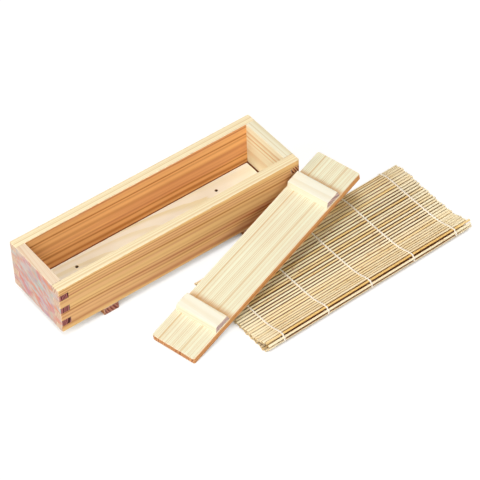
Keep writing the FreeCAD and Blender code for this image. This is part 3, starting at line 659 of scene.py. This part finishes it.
def bamboo(name):
    """Split bamboo: pale to golden strips with fine fibres, a darker node line and dotted ends."""
    material, tree, shader = surface(name)
    place = tree.node("ShaderNodeTexCoord")
    mat = over_mat(place)

    def kept(label):
        return tree.node("ShaderNodeAttribute", {"attribute_name": label}).out("Fac")

    def fibres(scale, stretch, seed, detail=2.0):
        """Noise drawn out along the slats."""
        spot = tree.node(
            "ShaderNodeVectorMath", {"operation": "MULTIPLY_ADD"},
            {0: mat, 1: (scale / stretch, scale, scale), 2: (seed, seed, seed)},
        )
        return tree.node("ShaderNodeTexNoise", inputs={"Vector": spot, "Scale": 1.0, "Detail": detail})

    tone, along, chance, knuckle = kept("tone"), kept("along"), kept("chance"), kept("knuckle")
    fine = fibres(5.0, stretch=90.0, seed=2.0)
    slow = fibres(0.35, stretch=14.0, seed=8.0)
    inner = along.smooth(0.04, 0.1) * along.smooth(0.96, 0.9)
    depth = tone * (inner * 0.45 + 0.55) + (fine - 0.5) * 0.42 + (slow - 0.5) * 0.4
    pale = depth.smooth(0.0, 0.5).tint(colour("fff8da"), colour("f3d28a"))
    hue = depth.smooth(0.4, 1.05).tint(pale, colour("dfae66"))

    # The cane's node is a thin brown line in a broader golden one.
    off = tree.math("ABSOLUTE", (along - knuckle) * SLAT_LENGTH)
    hue = (off.smooth(0.9, 0.25) * 0.4).tint(hue, colour("a8763a"))
    hue = (off.smooth(5.0, 0.8) * 0.25).tint(hue, colour("e8c27e"))

    # Painted shade between and under the slats: the split flanks are painted brown and the flesh below
    # darker, so that the gaps look dark; both are paler near the slats' ends.
    skin = kept("skin")
    flank = skin.smooth(0.5, 0.3) * (inner * 0.6 + 0.25)
    hue = flank.tint(hue, fine.tint(colour("74380a"), colour("a8641e")))
    flesh = skin.smooth(-0.2, -0.42) * (inner * 0.7 + 0.2)
    hue = flesh.tint(hue, fine.tint(colour("4a2406"), colour("7c4814")))
    streak = fibres(1.6, stretch=60.0, seed=15.0, detail=1.0).smooth(0.66, 0.72) * chance
    hue = (streak * 0.5).tint(hue, colour("b98645"))

    # The cut ends are dotted with the cane's bundles of fibres.
    normal = tree.node(
        "ShaderNodeVectorMath", {"operation": "DOT_PRODUCT"},
        {0: place.out("Normal"), 1: tuple(slat_way)}, "Value",
    )
    end_mask = (normal * normal).smooth(0.5, 0.8)
    bundles = tree.node("ShaderNodeTexVoronoi", inputs={"Vector": mat, "Scale": 3.4, "Randomness": 1.0})
    dots = bundles.out("Distance").smooth(0.12, 0.4)
    hue = end_mask.tint(hue, dots.tint(colour("b98a50"), colour("f0d8a2")))
    finish_surface(shader, hue, 0.42 + fine * 0.2 + end_mask * 0.25, fine, strength=0.4, depth=0.1)
    shader.inputs["Specular IOR Level"].default_value = 0.12
    return material


bamboo_skin = bamboo("split_bamboo")
slats_grown = slat_tree()
for node in MAT_NODES:
    run = [slat for slat in slats if slat["node"] == node]
    places = [
        slat_way * slat["start"] + mat_depth * slat["middle"][0] + Vector((0, 0, slat["middle"][1]))
        for slat in run
    ]
    values = {
        label: [slat[label] for slat in run]
        for label in ("turn", "length", "tone", "chance", "knuckle", "trim", "depth")
    }
    piece = line_mesh(node.replace("mat_slats", "bamboo_slats"), places, [], values)
    grow(piece, slats_grown, {
        "Width": SLAT_WIDTH * MM, "Thickness": SLAT_THICKNESS * MM, "Arris": 0.5 * MM, "Rings": 25,
        "Bow": 0.7 * MM, "Swelling": 0.06 * MM, "Swelling Length": 1.6 * MM, "Yaw": MAT_YAW, "Seed": 5,
        "Material": bamboo_skin,
    })
    hand_over(piece, node)

# ------------------------------------------------------------------------------- mat: cotton strings
# Five rows of twisted cotton string hold the slats. In each row two strings pass on either side of every
# slat and change sides in the gap, and they are knotted off round the last slat of each free edge.
STRING_WIDTH = 1.8
STRING_THICKNESS = 0.34
STRING_ROWS = 5
FIRST_ROW = 20.5
ROW_SPACING = 50.0
KNOT_WIDTH = 0.42
KNOT_HEIGHT = 0.26
KNOT_STEPS = 8
STEPS_IN_HALF_TURN = 3.2
TAILS = (-1.2, 1.5)

# How far a string's middle is over a slat's face, sways in a gap, passes a free edge, and clears the table,
# and how far a knot's middle clears the table.
STRING_COVER = 0.17
STRING_SWAY = 0.28
PAST_EDGE = 0.45
STRING_CLEARS = 0.2
KNOT_CLEARS = 0.6
mat_start = min(slat["start"] for slat in slats if slat["node"] == "mat_slats_lower") / MM


def string_tree():
    """A flattened string along each line of points, thin where it twists in a gap."""
    sizes = new_tree("cotton_strings", ["Width", "Thickness", "Sides"])
    line = sizes.node("GeometryNodeMeshToCurve", inputs={"Mesh": sizes.out("Geometry")})
    line = line.node(
        "GeometryNodeSetCurveNormal", {"mode": "FREE"}, {"Curve": line, "Normal": tuple(slat_way)},
    )
    ring = line.node(
        "GeometryNodeCurvePrimitiveCircle", {"mode": "RADIUS"},
        {"Resolution": sizes.out("Sides"), "Radius": 0.5},
    )
    scale = ring.node("ShaderNodeCombineXYZ", inputs={
        0: sizes.out("Width"), 1: sizes.out("Thickness"), 2: 1.0,
    })
    ring = ring.node("GeometryNodeTransform", inputs={"Geometry": ring, "Scale": scale})
    yarn = line.node("GeometryNodeCurveToMesh", inputs={
        "Curve": line, "Profile Curve": ring, "Scale": stored(sizes, "girth"), "Fill Caps": True,
    })
    yarn = yarn.node(
        "GeometryNodeSetShadeSmooth", inputs={"Geometry": yarn, "Selection": True, "Shade Smooth": True},
    )
    return close_tree(yarn, sizes)


def cotton(name):
    """Twisted cotton: off-white, a little darker along the slanting plies' hollows and in broad patches, and
    a little fuzzy.
    """
    material, tree, shader = surface(name)
    mat = over_mat(tree.node("ShaderNodeTexCoord"))
    axes = tree.node("ShaderNodeSeparateXYZ", inputs={0: mat})
    slant = axes.out("X") * 5.2 + axes.out("Y") * 6.4 + axes.out("Z") * 4.0
    ply = tree.math("SINE", slant) * 0.5 + 0.5
    fuzz = tree.node("ShaderNodeTexNoise", inputs={"Vector": mat, "Scale": 6.0, "Detail": 4.0})
    soil = tree.node("ShaderNodeTexNoise", inputs={"Vector": mat, "Scale": 0.12, "Detail": 2.0})
    hue = (ply * 0.8 + fuzz * 0.3).smooth(0.1, 0.6).tint(colour("f8efdf"), colour("fffdf4"))
    hue = (soil.smooth(0.45, 0.8) * 0.3).tint(hue, colour("efe0d2"))
    finish_surface(shader, hue, 0.85 + fuzz * 0.1, ply + fuzz * 0.5, strength=0.25, depth=0.1)
    return material


def half_width(slat):
    """Half the width that a string goes round."""
    return SLAT_WIDTH / 2 * max(slat["trim"], 1.0)


def reach(index, way):
    """How far a string goes from a slat's middle: half way to the next slat, or past the mat's edge."""
    slat = slats[index]
    if 0 <= index + way < len(slats):
        return 0.5 * math.dist(slats[index + way]["middle"], slat["middle"]) / MM
    return half_width(slat) + PAST_EDGE


def string_path(run, row, which):
    """Points of one of a row's two strings round a run of slats, with its girth at each."""
    points, girths = [], []

    def put(slat, ahead, outward, sideways, girth):
        depth = slat["middle"][0] / MM + slat["travel"][0] * ahead + slat["skin"][0] * outward
        height = slat["middle"][1] / MM + slat["travel"][1] * ahead + slat["skin"][1] * outward
        along = mat_start + FIRST_ROW + row * ROW_SPACING + sideways
        lift = Vector((0, 0, max(height, STRING_CLEARS)))
        points.append((slat_way * along + mat_depth * depth + lift) * MM)
        girths.append(girth)

    over = SLAT_THICKNESS / 2 + STRING_COVER
    for index in run:
        slat = slats[index]
        half = half_width(slat)
        side = 1 if (index + which) % 2 == 0 else -1
        sway = STRING_SWAY * side

        # Full and flat over the slat, the string thins and sways as it dips into the gap on either side.
        if index == run[0]:
            put(slat, -reach(index, -1), 0.0, -sway, 0.85)
        put(slat, -half - 0.05, side * over * 0.62, -sway * 0.9, 0.92)
        put(slat, -half * 0.72, side * over, -sway * 0.5, 0.97)
        put(slat, 0.0, side * (over + 0.02), 0.0, 1.0)
        put(slat, half * 0.72, side * over, sway * 0.5, 0.97)
        put(slat, half + 0.05, side * over * 0.62, sway * 0.9, 0.92)
        put(slat, reach(index, 1), 0.0, sway, 0.85)
    return points, girths


def knot(end, which):
    """Overhand turn and short tail that finish a string behind a free edge; end is where it arrives."""
    points, girths = [], []
    for step in range(1, KNOT_STEPS + 1):
        angle = step * math.pi / STEPS_IN_HALF_TURN
        lift = Vector((0, 0, KNOT_HEIGHT * (1 - math.cos(angle))))
        offset = mat_depth * (0.35 + 0.05 * step) + slat_way * (KNOT_WIDTH * math.sin(angle)) + lift
        points.append(end + offset * MM)
        girths.append(0.6)
    tail = slat_way * TAILS[which] + mat_depth * 1.1
    points.append(end + (mat_depth * 0.8 + tail * 0.45 + Vector((0, 0, 0.25))) * MM)
    points.append(end + (mat_depth * 0.8 + tail + Vector((0, 0, 0.05))) * MM)
    girths += [0.55, 0.42]
    for point in points:
        point.z = max(point.z, KNOT_CLEARS * MM)
    return points, girths


cotton_yarn = cotton("twisted_cotton")
strings_grown = string_tree()
STRING_RUNS = {
    "mat_strings_edge_3": ["mat_slats_edge_3"],
    "mat_strings_edge_2": ["mat_slats_edge_2"],
    "mat_strings_edge_1": ["mat_slats_edge_1"],
    "mat_strings_upper": ["mat_slats_upper", "mat_slats_fold"],
    "mat_strings_lower": ["mat_slats_lower"],
}
for node, groups in STRING_RUNS.items():
    run = [index for index, slat in enumerate(slats) if slat["node"] in groups]
    places, edges, girths = [], [], []
    for row in range(STRING_ROWS):
        for which in (0, 1):
            points, widths = string_path(run, row, which)
            if run[0] == 0:
                tied, tied_widths = knot(points[0], which)
                points, widths = tied[::-1] + points, tied_widths[::-1] + widths
            if run[-1] == len(slats) - 1:
                tied, tied_widths = knot(points[-1], which)
                points, widths = points + tied, widths + tied_widths
            first = len(places)
            places += points
            girths += widths
            edges += [(first + step, first + step + 1) for step in range(len(points) - 1)]
    piece = line_mesh(node.replace("mat_strings", "cotton_strings"), places, edges, {"girth": girths})
    grow(piece, strings_grown, {
        "Width": STRING_WIDTH * MM, "Thickness": STRING_THICKNESS * MM, "Sides": 8, "Material": cotton_yarn,
    })
    hand_over(piece, node)

# ------------------------------------------------------------------------------- table, room and lamps
# A wide white table top in a white room. One soft lamp hangs above, a little to the left; two weaker ones
# stand low at the left and in front, and the room's own light fills the shadows.
TABLE_HALF = 4.0
TABLE_DROP = 0.1 * MM
WARM_WHITE = (1.0, 0.985, 0.955)
corners = [(x * TABLE_HALF, y * TABLE_HALF, -TABLE_DROP) for x, y in ((-1, -1), (1, -1), (1, 1), (-1, 1))]
table_mesh = bpy.data.meshes.new("table_top")
table_mesh.from_pydata(corners, [], [(0, 1, 2, 3)])
table_top = bpy.data.objects.new("table_top", table_mesh)
bpy.context.scene.collection.objects.link(table_top)


def seen_directly(tree):
    """1 where the camera sees a surface, itself or in metal or glass, and 0 where it only passes light on."""
    rays = tree.node("ShaderNodeLightPath")
    seen = tree.math("MAXIMUM", rays.out("Is Camera Ray"), rays.out("Is Glossy Ray"))
    return tree.math("MAXIMUM", seen, rays.out("Is Transmission Ray"))


def grey(value):
    return (value, value, value, 1)


# The top glows where it is seen, so that it is white, but not close under the wood, which keeps its shadow.
white_top, tree, shader = surface("white_table_top")
crowding = tree.node("ShaderNodeAmbientOcclusion", {"samples": 8}, {"Distance": 20 * MM}, "AO")
glow = seen_directly(tree) * crowding.smooth(0.1, 0.6)
glow.tint(grey(0.8), grey(0.24)).into(shader, "Base Color")
glow.tint(grey(0), grey(0.84)).into(shader, "Emission Color")
shader.inputs["Emission Strength"].default_value = 1.0
shader.inputs["Roughness"].default_value = 0.9
shader.inputs["Specular IOR Level"].default_value = 0.1
table_mesh.materials.append(white_top)

world = bpy.data.worlds.new("room")
bpy.context.scene.world = world
world.use_nodes = True
background = world.node_tree.nodes["Background"]
seen_directly(Link(world.node_tree)).tint((0.31, 0.23, 0.155, 1), grey(1)).into(background, "Color")
background.inputs["Strength"].default_value = 1.0


def lamp(name, place, size, power, tint):
    """A soft square lamp that points at the middle of the table."""
    light = bpy.data.lights.new(name, "AREA")
    light.shape = "SQUARE"
    light.size = size
    light.energy = power
    light.color = tint
    piece = bpy.data.objects.new(name, light)
    piece.location = place
    piece.rotation_euler = (-Vector(place)).to_track_quat("-Z", "Y").to_euler()
    bpy.context.scene.collection.objects.link(piece)


lamp("key_lamp", (-0.6, -0.4, 3.15), size=1.1, power=50.0, tint=(0.98, 0.99, 0.975))
lamp("side_lamp", (-2.9, 0.4, 1.5), size=1.3, power=35.0, tint=WARM_WHITE)
lamp("front_lamp", (-1.3, -2.65, 1.5), size=1.3, power=36.0, tint=WARM_WHITE)

bpy.context.scene.view_settings.view_transform = "Standard"
